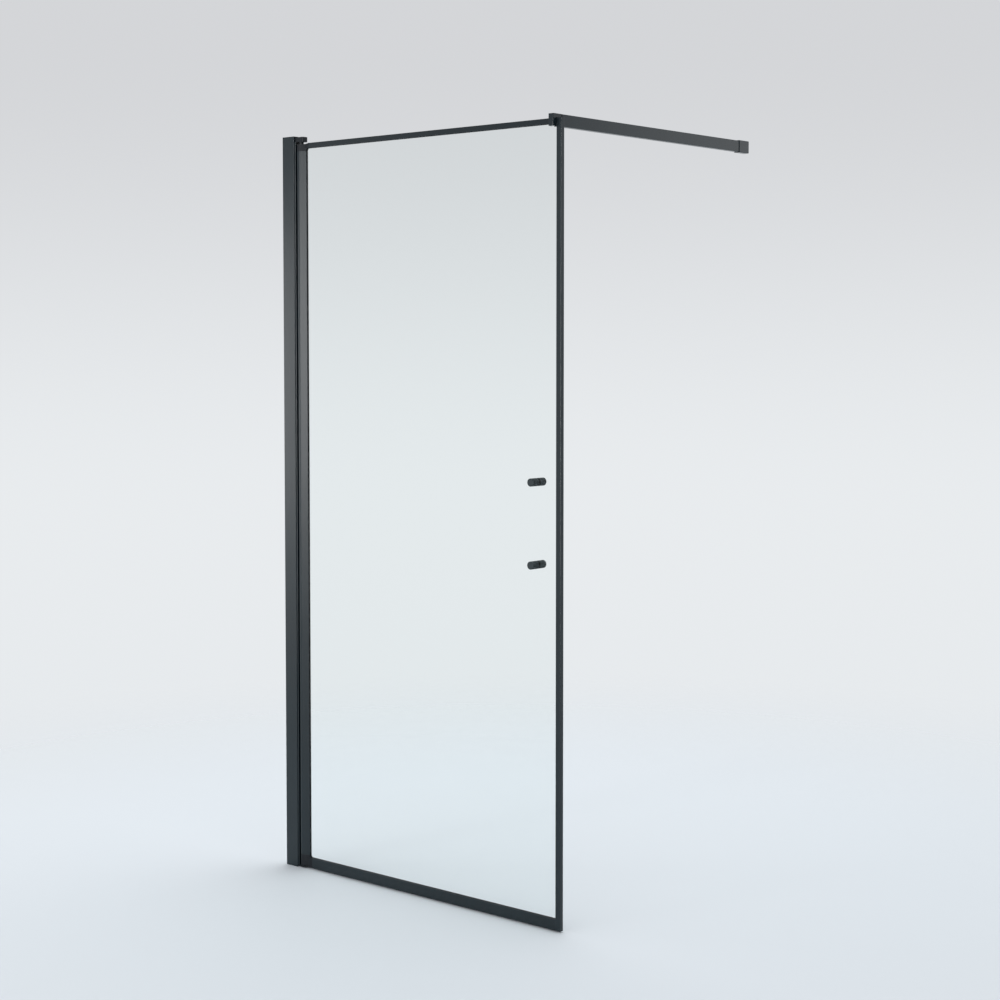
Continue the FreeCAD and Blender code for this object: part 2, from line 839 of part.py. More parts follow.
def build_rails():
    """Top rail, bottom rail and free stile, as extruded profiles."""
    edge = s.frame_edge_radius
    along = (corner_end, free_side)
    roof = frame_top - s.frame_wall
    top_profile = [
        (-frame_half, top_rail_bottom),
        (-slot_half, top_rail_bottom),
        (-slot_half, roof),
        (slot_half, roof),
        (slot_half, top_rail_bottom),
        (frame_half, top_rail_bottom),
        (frame_half, frame_top, edge),
        (-frame_half, frame_top, edge),
    ]
    top = extrude("x", [top_profile], along)
    top_screws = [turned(**tongue_screws["upper_hinge"]), turned(**tongue_screws["upper_free"])]
    node(cut(top, *top_screws), "top_rail")

    groove_half = s.sweep_width / 2
    groove_top = frame_bottom + s.sweep_groove
    bottom_profile = [
        (-frame_half, frame_bottom, edge),
        (-groove_half, frame_bottom),
        (-groove_half, groove_top),
        (groove_half, groove_top),
        (groove_half, frame_bottom),
        (frame_half, frame_bottom, edge),
        (frame_half, bottom_rail_top),
        (slot_half, bottom_rail_top),
        (slot_half, slot_bottom),
        (-slot_half, slot_bottom),
        (-slot_half, bottom_rail_top),
        (-frame_half, bottom_rail_top),
    ]
    chamber = rectangle(both(slot_half), (chamber_bottom, chamber_top))
    bottom = extrude("x", [bottom_profile, chamber], along)
    bottom_screws = [turned(**tongue_screws["lower_hinge"]), turned(**tongue_screws["lower_free"])]
    node(cut(bottom, *bottom_screws), "bottom_rail")

    fin_half = groove_half - s.tongue_fit
    fin_low = frame_bottom - s.sweep_drop
    fin = [
        (-fin_half, frame_bottom),
        (-fin_half / 2, fin_low),
        (fin_half / 2, fin_low),
        (fin_half, frame_bottom),
        (fin_half, groove_top),
        (-fin_half, groove_top),
    ]
    node(extrude("x", [fin], along), "bottom_sweep")

    stile_profile = [
        (free_side, -frame_half),
        (s.screen_width, -frame_half, edge),
        (s.screen_width, frame_half, edge),
        (free_side, frame_half),
        (free_side, slot_half),
        (free_slot_end, slot_half),
        (free_slot_end, -slot_half),
        (free_side, -slot_half),
    ]
    node(extrude("z", [stile_profile], (frame_bottom, frame_top)), "free_stile")


def build_cleats():
    """Corner pieces inside the free side of the frame, and all the screws of the frame."""
    depth = both(tongue_half)
    head_x = (free_side, free_slot_end - s.tongue_fit)
    leg_x = (slot_right + s.tongue_fit, free_slot_end - s.tongue_fit)

    upper = fuse(
        block(head_x, depth, (upper_tongue_z[0], frame_top)),
        block(leg_x, depth, (upper_tongue_z[0] - s.cleat_leg, upper_tongue_z[0])),
        block(free_tongue_x, depth, upper_tongue_z),
    )
    node(cut(upper, turned(**tongue_screws["upper_free"])), "upper_free_cleat")

    head_top = slot_bottom - s.tongue_fit
    lower = fuse(
        block(head_x, depth, (frame_bottom, head_top)),
        block(leg_x, depth, (head_top, head_top + s.cleat_leg)),
        block(free_tongue_x, depth, lower_tongue_z),
    )
    node(cut(lower, turned(**tongue_screws["lower_free"])), "lower_free_cleat")

    places = [*tongue_screws.values(), upper_spigot_screw, lower_spigot_screw]
    node(group([turned(**place_of) for place_of in places]), "frame_screws")


def knob_heights():
    """The two heights at which knobs pass through the glass."""
    return {
        "upper": s.knob_height + s.knob_spacing / 2,
        "lower": s.knob_height - s.knob_spacing / 2,
    }


knob_x = s.screen_width - s.knob_inset
glass_half = s.glass_thickness / 2


def build_glass():
    """The pane with its knob holes, and the gasket along each edge."""
    pane = block((glass_left, glass_right), both(glass_half), (glass_bottom, glass_top))
    hole = s.knob_stud_radius + s.knob_sleeve_wall
    holes = [
        rod("y", hole, s.glass_thickness, x=knob_x, y=-glass_half, z=height)
        for height in knob_heights().values()
    ]
    node(cut(pane, *holes), "glass_pane")

    arm = s.glass_bite + s.gasket_lip

    def gasket(base, edge, tip):
        return [
            (-slot_half, base),
            (slot_half, base),
            (slot_half, tip),
            (glass_half, tip),
            (glass_half, edge),
            (-glass_half, edge),
            (-glass_half, tip),
            (-slot_half, tip),
        ]

    across = (glass_left, glass_right)
    upright = (glass_bottom + arm, glass_top - arm)
    node(extrude("x", [gasket(slot_top, glass_top, glass_top - arm)], across), "top_gasket")
    node(extrude("x", [gasket(slot_bottom, glass_bottom, glass_bottom + arm)], across), "bottom_gasket")
    hinge_side = [(x, y) for y, x in gasket(slot_left, glass_left, glass_left + arm)]
    free_edge = [(x, y) for y, x in gasket(slot_right, glass_right, glass_right - arm)]
    node(extrude("z", [hinge_side], upright), "hinge_side_gasket")
    node(extrude("z", [free_edge], upright), "free_side_gasket")


def build_knobs():
    """Pairs of knobs on studs through the glass, with sleeves and washers."""
    outline = [
        (s.knob_stud_radius, 0),
        (s.knob_radius, 0),
        (s.knob_radius, s.knob_length, s.knob_edge),
        (0, s.knob_length),
        (0, s.knob_bore),
        (s.knob_stud_radius, s.knob_bore),
    ]
    hole = s.knob_stud_radius + s.knob_sleeve_wall
    washer = [
        (s.knob_stud_radius, 0),
        (s.knob_washer_radius, 0),
        (s.knob_washer_radius, s.knob_washer),
        (s.knob_stud_radius, s.knob_washer),
    ]
    sleeve = rectangle((s.knob_stud_radius, hole), (0, s.glass_thickness))
    face = glass_half + s.knob_washer
    reach = face + s.knob_bore
    sleeves, washers = [], []
    for level, height in knob_heights().items():
        at = {"x": knob_x, "z": height}
        node(turned("-y", outline, y=-face, **at), f"{level}_outer_knob")
        node(turned("y", outline, y=face, **at), f"{level}_inner_knob")
        node(rod("y", s.knob_stud_radius, reach * 2, y=-reach, **at), f"{level}_knob_stud")
        sleeves.append(turned("y", sleeve, y=-glass_half, **at))
        washers.append(turned("-y", washer, y=-glass_half, **at))
        washers.append(turned("y", washer, y=glass_half, **at))
    node(group(sleeves), "knob_sleeves")
    node(group(washers), "knob_washers")


def build_saddle():
    """Clamp over the top rail that meets the end of the bar."""
    edge = s.saddle_edge_radius
    inside = frame_half + s.saddle_pad
    roof = frame_top + s.saddle_pad
    section = [
        (-s.saddle_front, bar_bottom, edge),
        (-inside, bar_bottom),
        (-inside, roof),
        (inside, roof),
        (inside, bar_bottom),
        (s.saddle_back, bar_bottom),
        (s.saddle_back, bar_top),
        (-s.saddle_front, bar_top, edge),
    ]
    along = (bar_left, bar_right)
    plan = [
        (bar_left, -s.saddle_front, edge),
        (bar_right, -s.saddle_front, edge),
        (bar_right, s.saddle_back),
        (bar_left, s.saddle_back),
    ]
    blank = common(extrude("x", [section], along), extrude("z", [plan], (bar_bottom, bar_top)))
    screw = rod("z", s.saddle_screw_radius, bar_top - roof, x=bar_middle, z=roof)
    node(cut(blank, screw), "saddle_clamp")

    socket = s.saddle_screw_radius / 2
    length = bar_top - roof - s.saddle_pad
    grub = [
        (0, 0),
        (s.saddle_screw_radius, 0),
        (s.saddle_screw_radius, length),
        (socket, length),
        (socket, length / 2),
        (0, length / 2),
    ]
    node(turned("z", grub, x=bar_middle, z=roof), "saddle_screw")

    pad = [
        (-inside, top_rail_bottom),
        (-frame_half, top_rail_bottom),
        (-frame_half, frame_top),
        (frame_half, frame_top),
        (frame_half, top_rail_bottom),
        (inside, top_rail_bottom),
        (inside, roof),
        (-inside, roof),
    ]
    node(extrude("x", [pad], along), "saddle_pad")

    margin = s.strike_margin
    strike = rectangle(
        (bar_left + margin, bar_right - margin), (bar_bottom + margin, bar_top - margin), margin / 2
    )
    node(extrude("y", [strike], (s.saddle_back, strike_face)), "strike_plate")


def build_bar():
    """Hollow bar from the door to the back wall, with its end plug, magnet and wall socket."""
    wall = s.bar_wall
    bar_x, bar_z = (bar_left, bar_right), (bar_bottom, bar_top)
    bore_x = (bar_left + wall, bar_right - wall)
    bore_z = (bar_bottom + wall, bar_top - wall)
    outside = rectangle(bar_x, bar_z, s.bar_edge_radius)
    node(extrude("y", [outside, rectangle(bore_x, bore_z)], (bar_start, bar_end)), "support_bar")

    fit = s.bar_plug_fit
    lid = extrude("y", [outside], (catch_face, bar_start))
    plug = block(
        (bore_x[0] + fit, bore_x[1] - fit),
        (bar_start, bar_start + s.bar_plug_length),
        (bore_z[0] + fit, bore_z[1] - fit),
    )
    half_width, half_height = s.magnet_width / 2, s.magnet_height / 2
    magnet_x = (bar_middle - half_width, bar_middle + half_width)
    magnet_z = (bar_centre - half_height, bar_centre + half_height)
    magnet_y = (catch_face, catch_face + s.magnet_length)
    node(cut(fuse(lid, plug), block(magnet_x, magnet_y, magnet_z)), "bar_end_plug")
    node(block(magnet_x, magnet_y, magnet_z), "catch_magnet")

    fit = s.socket_fit
    rim = s.socket_fit + s.socket_wall
    shell = rectangle(
        (bar_left - rim, bar_right + rim), (bar_bottom - rim, bar_top + rim), s.socket_edge_radius
    )
    cup = rectangle(
        (bar_left - fit, bar_right + fit), (bar_bottom - fit, bar_top + fit), s.bar_edge_radius
    )
    base_face = s.back_wall - s.socket_base
    tools = [extrude("y", [cup], (socket_start, base_face))]
    for side in (-1, 1):
        height = bar_centre + s.socket_hole_spacing * (side / 2)
        tools.append(
            rod("y", s.socket_hole_radius, s.socket_base, x=bar_middle, y=base_face, z=height)
        )
    screw_y = socket_start + s.socket_length / 3
    screw_at = {"x": bar_middle, "y": screw_y, "z": bar_bottom - rim}
    tools.append(rod("z", s.socket_screw_radius, rim, **screw_at))
    node(cut(extrude("y", [shell], (socket_start, s.back_wall)), *tools), "wall_socket")
    node(rod("z", s.socket_screw_radius, rim, **screw_at), "socket_screw")


def check_and_write():
    """Stop on any failed object or shape, then write each piece to its own file."""
    doc.recompute()
    failed = [thing.Label for thing in doc.Objects if {"Invalid", "Error"} & set(thing.State)]
    if failed:
        raise RuntimeError(f"failed objects: {failed}")
    for thing in nodes:
        shape = thing.Shape
        if shape.isNull() or not shape.isValid() or not shape.Solids:
            raise RuntimeError(f"bad shape: {thing.Label}")
    os.makedirs("parts", exist_ok=True)
    for thing in nodes:
        thing.Shape.exportStep(f"parts/{thing.Label}.step")
        print(f"{thing.Label}: {len(thing.Shape.Solids)} solids, {thing.Shape.Volume:.1f} mm3")


build_channel()
build_clamps()
build_post()
build_pivots()
build_hinge_stile()
build_hinge_corners()
build_rails()
build_cleats()
build_glass()
build_knobs()
build_saddle()
build_bar()
check_and_write()
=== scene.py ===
"""Looks of a shower screen: a framed glass door on a pivot, its wall channel and its support bar.

Lengths are metres in the part's own frame: X runs along the screen away from its wall, Y points into the
shower and Z is up. Places and main sizes are read from the frame; only fine details are named here.
"""
import json
import math

import bmesh
import bpy
from mathutils import Matrix, Vector


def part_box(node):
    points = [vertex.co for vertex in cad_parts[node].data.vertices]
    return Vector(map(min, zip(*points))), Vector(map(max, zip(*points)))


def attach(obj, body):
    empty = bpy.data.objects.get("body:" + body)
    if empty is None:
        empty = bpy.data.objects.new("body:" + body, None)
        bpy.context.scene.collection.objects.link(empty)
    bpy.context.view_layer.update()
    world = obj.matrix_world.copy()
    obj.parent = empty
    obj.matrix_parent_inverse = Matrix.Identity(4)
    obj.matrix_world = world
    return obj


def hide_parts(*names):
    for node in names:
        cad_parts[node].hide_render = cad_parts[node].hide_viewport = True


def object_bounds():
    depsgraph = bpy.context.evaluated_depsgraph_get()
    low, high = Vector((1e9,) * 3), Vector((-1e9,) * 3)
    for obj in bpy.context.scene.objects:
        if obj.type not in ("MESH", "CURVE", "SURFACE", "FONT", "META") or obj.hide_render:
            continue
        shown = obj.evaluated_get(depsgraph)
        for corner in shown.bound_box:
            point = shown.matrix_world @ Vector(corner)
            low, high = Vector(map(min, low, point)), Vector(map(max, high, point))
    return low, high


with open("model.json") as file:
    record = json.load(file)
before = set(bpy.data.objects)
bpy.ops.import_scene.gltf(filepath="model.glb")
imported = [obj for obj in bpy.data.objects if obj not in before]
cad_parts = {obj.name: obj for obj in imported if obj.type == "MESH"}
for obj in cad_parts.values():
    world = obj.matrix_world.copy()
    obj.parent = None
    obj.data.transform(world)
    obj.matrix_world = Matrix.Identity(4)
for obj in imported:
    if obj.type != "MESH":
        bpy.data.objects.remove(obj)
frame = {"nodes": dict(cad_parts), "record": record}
CAD_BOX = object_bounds()

MM = 0.001
X, Y, Z = range(3)
NODES = frame["nodes"]
SLOT_OF = {part["node"]: part["material_slot"] for part in frame["record"]["subparts"]}
BODY_OF = {node: body for body, nodes in frame["record"]["behaviour"]["bodies"].items() for node in nodes}

# Mesh clean-up: points this close are one, and faces this flat are one
WELD = 0.002 * MM
FLAT_ANGLE = math.radians(0.5)

# Edges past the first angle are rounded over, and edges past the second are shaded as hard
HARD_ANGLE = math.radians(40)
SMOOTH_ANGLE = math.radians(32)

# A rounded edge has this many faces across and a circular profile
EASE_STEPS = 2
ROUND_PROFILE = 0.5

# How far the hard edges of each copied piece are eased
EASES = {
    "wall_channel": 0.3 * MM,
    "channel_lid": 0.2 * MM,
    "hinge_post": 0.3 * MM,
    "hinge_stile": 0.4 * MM,
    "upper_hinge_corner": 0.25 * MM,
    "lower_hinge_corner": 0.25 * MM,
    "upper_hinge_block": 0.35 * MM,
    "lower_hinge_block": 0.35 * MM,
    "top_rail": 0.3 * MM,
    "bottom_rail": 0.3 * MM,
    "free_stile": 0.3 * MM,
    "support_bar": 0.3 * MM,
    "bar_end_plug": 0.3 * MM,
    "wall_socket": 0.35 * MM,
    "saddle_clamp": 0.4 * MM,
    "saddle_pad": 0.2 * MM,
    "strike_plate": 0.25 * MM,
    "catch_magnet": 0.3 * MM,
    "upper_free_cleat": 0.25 * MM,
    "lower_free_cleat": 0.25 * MM,
}

# Draw lines run along the length of each extrusion, and upright ones are the common case
PROFILE_AXIS = {
    "top_rail": "x",
    "bottom_rail": "x",
    "support_bar": "y",
    "wall_socket": "y",
    "saddle_clamp": "y",
}

# Scale of a noise pattern along that axis, which draws it out into lines
DRAW_STRETCH = 0.01

# Clearance that keeps a finer piece from touching what it fits
HAIR_GAP = 0.05 * MM

# Turned shapes have this many sides, and rounded corners this many steps
SIDES = 72
ARC_STEPS = 6

# Knobs and their washers, where the bore's limit is a share of the knob's length
KNOB_EDGE = 1.0 * MM
KNOB_FOOT_EDGE = 0.5 * MM
KNOB_DISH = 0.25 * MM
KNOB_DISH_RIM = 1.6 * MM
KNOB_BORE_LIMIT = 0.7
WASHER_EDGE = 0.25 * MM

# Nuts and screws, where a decimal without a unit is a share of the length or radius that it shapes
NUT_EDGE = 0.4 * MM
SCREW_EDGE = 0.3 * MM
SCREW_HEAD = 0.2
SCREW_HEAD_FLAT = 0.5
SCREW_SHANK = 0.5
SCREW_POINT_RADIUS = 0.7
SCREW_POINT_LENGTH = 0.4
SCREW_SOCKET = 0.42
SCREW_SOCKET_WALL = 0.65
SCREW_SOCKET_DEPTH = 0.8
SOCKET_MOUTH = 1.12
PAN_CROWN = 0.6
FLUSH_CROWN = 0.15
LOBES = 6
LOBE_DEPTH = 0.13
HEXAGON_SIDES = 6
GRUB_SOCKET = 0.5
GRUB_SOCKET_WALL = 0.5
GRUB_SOCKET_CONE = 0.4
GRUB_POINT_RADIUS = 0.8
GRUB_POINT_LENGTH = 0.2

# Gaskets, drip sweep and hinge seal, with shares again where there is no unit
GASKET_TIP = 0.5 * MM
GASKET_BASE = 1.0 * MM
TIP_RADIUS = 0.2 * MM
SWEEP_EDGE = 0.2 * MM
SWEEP_STEP = 0.3 * MM
SWEEP_INNER_EDGE = 0.1 * MM
SWEEP_BLADE = 0.55
SWEEP_TIP = 0.6
SEAL_ROUND = 0.9

# Most of a noise pattern lies between these two values
NOISE_SPREAD = (0.3, 0.7)

# Shares of each colour left after one face of the glass, and where nothing is held back
GLASS_TINT = (0.955, 0.983, 0.978, 1.0)
CLEAR = (1.0, 1.0, 1.0, 1.0)

# The floor fades out between two distances from the object's middle
FLOOR_RADIUS = 7.0
FLOOR_FADE = (0.9, 3.2)
FLOOR_COLOUR = (0.735, 0.78, 0.82, 1.0)

# Colours of the backdrop by height, from straight below at 0 to straight above at 1
SKY_STOPS = (
    (0.30, (0.75, 0.79, 0.825)),
    (0.46, (0.81, 0.835, 0.855)),
    (0.58, (0.66, 0.67, 0.69)),
    (1.00, (0.56, 0.57, 0.59)),
)

# Even light from all round, which is never seen itself
FILL_COLOUR = (0.96, 0.98, 1.0, 1.0)
FILL_LIGHT = 0.70

# Soft lamps: place, the point each is turned to, width and height, and watts
LAMPS = {
    "key": ((-0.2, 1.4, 4.8), (-0.1, 1.1, 0.0), (3.2, 3.2), 92),
    "left_box": ((-2.63, -1.95, 1.30), (0.05, 0.0, 1.40), (0.7, 1.3), 15),
    "left_low_box": ((-2.63, -1.95, 0.35), (0.05, 0.0, 0.80), (0.7, 0.6), 1.6),
    "front_box": ((-0.903, -6.937, 1.45), (0.07, 0.0, 1.45), (1.1, 2.0), 81),
    "edge_box": ((3.09, -5.17, 1.5), (0.95, 0.0, 1.3), (0.8, 2.6), 230),
    "back_box": ((2.6, 3.6, 2.3), (0.9, 0.5, 1.9), (1.6, 1.2), 5),
}

# The lamp that only draws light lines along upright edges, and the lamps that leave out level pieces
EDGE_LAMP = "edge_box"
UPRIGHT_LAMPS = ("front_box", EDGE_LAMP)

# Pieces along the rails and the bar, on whose level faces those lamps would only make white glints
LEVEL_PIECES = (
    "top_rail_eased",
    "bottom_rail_eased",
    "support_bar_eased",
    "wall_socket_eased",
    "top_gasket_lipped",
    "bottom_gasket_lipped",
)

# The photograph's viewpoint
CAMERA_PLACE = (3.83516, -3.56484, 1.42482)
CAMERA_TURN = math.radians(40.706)
CAMERA_TILT = math.radians(90 - 3.032)
CAMERA_LENS = 68.2875
CAMERA_SHIFT = -0.05


def feed(tree, socket, value):
    """Links an output to a socket, or sets the socket's own value."""
    if isinstance(value, bpy.types.NodeSocket):
        tree.links.new(value, socket)
    else:
        socket.default_value = value


def add_node(tree, kind, inputs=None, **settings):
    """Adds a shader node, applies its settings, and links or fills the inputs given by name or number."""
    made = tree.nodes.new(kind)
    for name, value in settings.items():
        setattr(made, name, value)
    for name, value in (inputs or {}).items():
        feed(tree, made.inputs[name], value)
    return made


def new_material(name):
    """A node material with its tree and its main shader."""
    material = bpy.data.materials.new(name)
    material.use_nodes = True
    return material, material.node_tree, material.node_tree.nodes["Principled BSDF"]


def dress(tree, shader, **inputs):
    """Links or sets the main shader's inputs; underscores stand for spaces in their names."""
    for name, value in inputs.items():
        feed(tree, shader.inputs[name.replace("_", " ")], value)


def let_through(tree, shader, colour, share):
    """Mixes the main shader with clear passage, by a share from 0 to 1, on its way to the output."""
    clear = add_node(tree, "ShaderNodeBsdfTransparent", {"Color": colour})
    mix = add_node(tree, "ShaderNodeMixShader", {"Fac": share})
    tree.links.new(shader.outputs["BSDF"], mix.inputs[1])
    tree.links.new(clear.outputs["BSDF"], mix.inputs[2])
    tree.links.new(mix.outputs["Shader"], tree.nodes["Material Output"].inputs["Surface"])


def object_point(tree):
    """Coordinates in the piece's own frame, in metres."""
    return add_node(tree, "ShaderNodeTexCoord").outputs["Object"]


def stretched(tree, point, scale):
    """The same coordinates, scaled by axis so that a pattern is drawn out along one of them."""
    return add_node(tree, "ShaderNodeMapping", {"Vector": point, "Scale": scale}).outputs["Vector"]


def noise(tree, point, scale, detail=2.0):
    """Soft random pattern with this many features to the metre."""
    inputs = {"Vector": point, "Scale": scale, "Detail": detail}
    return add_node(tree, "ShaderNodeTexNoise", inputs).outputs["Fac"]


def between(tree, pattern, low, high):
    """A noise pattern spread over the range from low to high."""
    start, end = NOISE_SPREAD
    inputs = {"Value": pattern, "From Min": start, "From Max": end, "To Min": low, "To Max": high}
    return add_node(tree, "ShaderNodeMapRange", inputs).outputs["Result"]


def tinted(tree, pattern, dark, light):
    """A noise pattern as a colour between two close shades."""
    ramp = add_node(tree, "ShaderNodeValToRGB", {"Fac": pattern})
    for stop, place, colour in zip(ramp.color_ramp.elements, NOISE_SPREAD, (dark, light)):
        stop.position = place
        stop.color = (*colour, 1.0)
    return ramp.outputs["Color"]


def bumped(tree, height, depth, under=None):
    """Surface relief of this depth, laid over another relief where one is given."""
    inputs = {"Height": height, "Distance": depth, "Strength": 1.0}
    if under is not None:
        inputs["Normal"] = under
    return add_node(tree, "ShaderNodeBump", inputs).outputs["Normal"]


def powder_coat(axis):
    """Satin black powder coat: orange peel, fine grain and the faint draw lines of the extrusion."""
    material, tree, shader = new_material("powder_coat_" + axis)
    point = object_point(tree)
    drawn = stretched(tree, point, [DRAW_STRETCH if name == axis else 1.0 for name in "xyz"])
    cloud = noise(tree, point, scale=11.0, detail=3.0)
    grain = noise(tree, point, scale=1900.0, detail=3.0)
    lines = noise(tree, drawn, scale=700.0)
    peel = noise(tree, point, scale=420.0)
    relief = bumped(tree, lines, depth=0.004 * MM)
    relief = bumped(tree, peel, depth=0.012 * MM, under=relief)
    relief = bumped(tree, grain, depth=0.004 * MM, under=relief)
    dress(
        tree,
        shader,
        Base_Color=tinted(tree, cloud, (0.0010, 0.0090, 0.0140), (0.0030, 0.0125, 0.0180)),
        Roughness=between(tree, grain, 0.27, 0.31),
        Specular_IOR_Level=0.42,
        Normal=relief,
    )
    return material


def turned_black():
    """Satin black coat over turned metal, with the lathe's fine rings about the knob's axis."""
    material, tree, shader = new_material("turned_black")
    point = object_point(tree)
    rings = add_node(
        tree,
        "ShaderNodeTexWave",
        {"Vector": point, "Scale": 300.0, "Distortion": 0.6, "Detail": 2.0, "Detail Scale": 40.0},
        wave_type="RINGS",
        rings_direction="Z",
    ).outputs["Fac"]
    cloud = noise(tree, point, scale=90.0)
    turns = noise(tree, stretched(tree, point, (0.05, 0.05, 1.0)), scale=2500.0)
    grain = noise(tree, point, scale=2600.0, detail=3.0)
    relief = bumped(tree, rings, depth=0.001 * MM)
    relief = bumped(tree, turns, depth=0.002 * MM, under=relief)
    relief = bumped(tree, grain, depth=0.003 * MM, under=relief)
    dress(
        tree,
        shader,
        Base_Color=tinted(tree, cloud, (0.032, 0.043, 0.047), (0.038, 0.050, 0.055)),
        Roughness=between(tree, rings, 0.50, 0.56),
        Specular_IOR_Level=0.2,
        Normal=relief,
    )
    return material


def black_moulding():
    """Glass-filled black nylon with the fine spark-eroded grain of its mould."""
    material, tree, shader = new_material("black_moulding")
    point = object_point(tree)
    cloud = noise(tree, point, scale=60.0, detail=3.0)
    pits = add_node(tree, "ShaderNodeTexVoronoi", {"Vector": point, "Scale": 1500.0}).outputs["Distance"]
    grain = noise(tree, point, scale=3000.0, detail=3.0)
    relief = bumped(tree, pits, depth=0.012 * MM)
    relief = bumped(tree, grain, depth=0.006 * MM, under=relief)
    dress(
        tree,
        shader,
        Base_Color=tinted(tree, cloud, (0.0030, 0.0055, 0.0090), (0.0050, 0.0080, 0.0120)),
        Roughness=between(tree, cloud, 0.40, 0.47),
        Specular_IOR_Level=0.24,
        Normal=relief,
    )
    return material


def bearing_plastic():
    """Smooth black acetal with a slight waxy cloudiness."""
    material, tree, shader = new_material("bearing_plastic")
    point = object_point(tree)
    cloud = noise(tree, point, scale=240.0)
    grain = noise(tree, point, scale=1800.0)
    dress(
        tree,
        shader,
        Base_Color=tinted(tree, cloud, (0.011, 0.011, 0.012), (0.018, 0.018, 0.019)),
        Roughness=between(tree, cloud, 0.28, 0.36),
        Normal=bumped(tree, grain, depth=0.004 * MM),
    )
    return material


def stainless_steel():
    """Bright stainless steel with fine tool marks that vary its gloss."""
    material, tree, shader = new_material("stainless_steel")
    point = object_point(tree)
    cloud = noise(tree, point, scale=150.0, detail=3.0)
    marks = noise(tree, stretched(tree, point, (1.0, 0.06, 1.0)), scale=2600.0, detail=3.0)
    dress(
        tree,
        shader,
        Base_Color=tinted(tree, cloud, (0.50, 0.50, 0.51), (0.60, 0.60, 0.61)),
        Metallic=1.0,
        Roughness=between(tree, marks, 0.22, 0.36),
        Normal=bumped(tree, marks, depth=0.003 * MM),
    )
    return material


def black_rubber():
    """Soft black rubber: dull, fine-grained and very slightly dusty."""
    material, tree, shader = new_material("black_rubber")
    point = object_point(tree)
    bloom = noise(tree, point, scale=35.0, detail=4.0)
    grain = noise(tree, point, scale=2200.0, detail=3.0)
    dress(
        tree,
        shader,
        Base_Color=tinted(tree, bloom, (0.0050, 0.0062, 0.0070), (0.0080, 0.0095, 0.0105)),
        Roughness=between(tree, grain, 0.72, 0.86),
        Specular_IOR_Level=0.18,
        Normal=bumped(tree, grain, depth=0.010 * MM),
    )
    return material


def clear_glass():
    """Clear toughened glass, faintly green, with the slight roller wave of its furnace."""
    material, tree, shader = new_material("clear_glass")
    wave = noise(tree, stretched(tree, object_point(tree), (1.0, 1.0, 2.5)), scale=2.2, detail=1.0)
    dress(
        tree,
        shader,
        Base_Color=GLASS_TINT,
        Roughness=0.0,
        IOR=1.5,
        Transmission_Weight=1.0,
        Normal=bumped(tree, wave, depth=0.05 * MM),
    )
    rays = add_node(tree, "ShaderNodeLightPath").outputs
    let_through(tree, shader, GLASS_TINT, rays["Is Shadow Ray"])
    return material


COATS = {axis: powder_coat(axis) for axis in "xyz"}
FINISHES = {
    "black_knob": turned_black(),
    "black_moulding": black_moulding(),
    "bearing_plastic": bearing_plastic(),
    "steel": stainless_steel(),
    "black_rubber": black_rubber(),
    "clear_glass": clear_glass(),
}


def finish_of(node):
    """The material of a node: its slot's finish, with the coat's draw lines along the piece."""
    if SLOT_OF[node] == "black_profile":
        return COATS[PROFILE_AXIS.get(node, "z")]
    return FINISHES[SLOT_OF[node]]


def welded(node):
    """A node's mesh with its split points joined."""
    bm = bmesh.new()
    bm.from_mesh(NODES[node].data)
    bmesh.ops.remove_doubles(bm, verts=bm.verts, dist=WELD)
    return bm


def stand_in(bm, node, suffix, place=None):
    """Turns a mesh into a piece that stands for a node, rides its body and has its finish."""
    bmesh.ops.recalc_face_normals(bm, faces=bm.faces)
    mesh = bpy.data.meshes.new(node + suffix)
    bm.to_mesh(mesh)
    bm.free()
    mesh.polygons.foreach_set("use_smooth", [True] * len(mesh.polygons))
    mesh.set_sharp_from_angle(angle=SMOOTH_ANGLE)
    mesh.materials.append(finish_of(node))
    piece = bpy.data.objects.new(node + suffix, mesh)
    bpy.context.scene.collection.objects.link(piece)
    if place is not None:
        piece.matrix_world = place
    weigh = piece.modifiers.new("even_shading", "WEIGHTED_NORMAL")
    weigh.keep_sharp = True
    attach(piece, BODY_OF[node])
    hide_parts(node)


def eased(node, width, place=None):
    """A copy of a node with its hard outer edges rounded by this width, set off where a place is given."""
    bm = welded(node)
    bmesh.ops.dissolve_limit(bm, angle_limit=FLAT_ANGLE, verts=bm.verts, edges=bm.edges)
    bmesh.ops.bevel(
        bm,
        geom=[edge for edge in bm.edges if edge.calc_face_angle_signed(0.0) > HARD_ANGLE],
        offset=width,
        offset_type="OFFSET",
        segments=EASE_STEPS,
        profile=ROUND_PROFILE,
        affect="EDGES",
    )
    bmesh.ops.remove_doubles(bm, verts=bm.verts, dist=WELD)
    stand_in(bm, node, "_eased", place)


def arc_points(corner, before, after, radius):
    """Points of the arc that rounds a corner between two neighbours."""
    to_before = (before - corner).normalized()
    to_after = (after - corner).normalized()
    half = to_before.angle(to_after) / 2
    reach = radius / math.tan(half)
    centre = corner + (to_before + to_after).normalized() * (radius / math.sin(half))
    start = corner + to_before * reach - centre
    end = corner + to_after * reach - centre
    span = math.pi - 2 * half
    points = []
    for step in range(ARC_STEPS + 1):
        share = step / ARC_STEPS
        weights = math.sin((1 - share) * span), math.sin(share * span)
        points.append(centre + (start * weights[0] + end * weights[1]) / math.sin(span))
    return points


def rounded(corners, closed=True):
    """An outline from (x, y, radius) corners, where a radius of zero leaves the corner sharp."""
    flat = [Vector(corner[:2]) for corner in corners]
    points = []
    for index, (*_, radius) in enumerate(corners):
        end = not closed and index in (0, len(corners) - 1)
        if radius == 0 or end:
            points.append(flat[index])
            continue
        after = flat[(index + 1) % len(flat)]
        points.extend(arc_points(flat[index], flat[index - 1], after, radius))
    return points


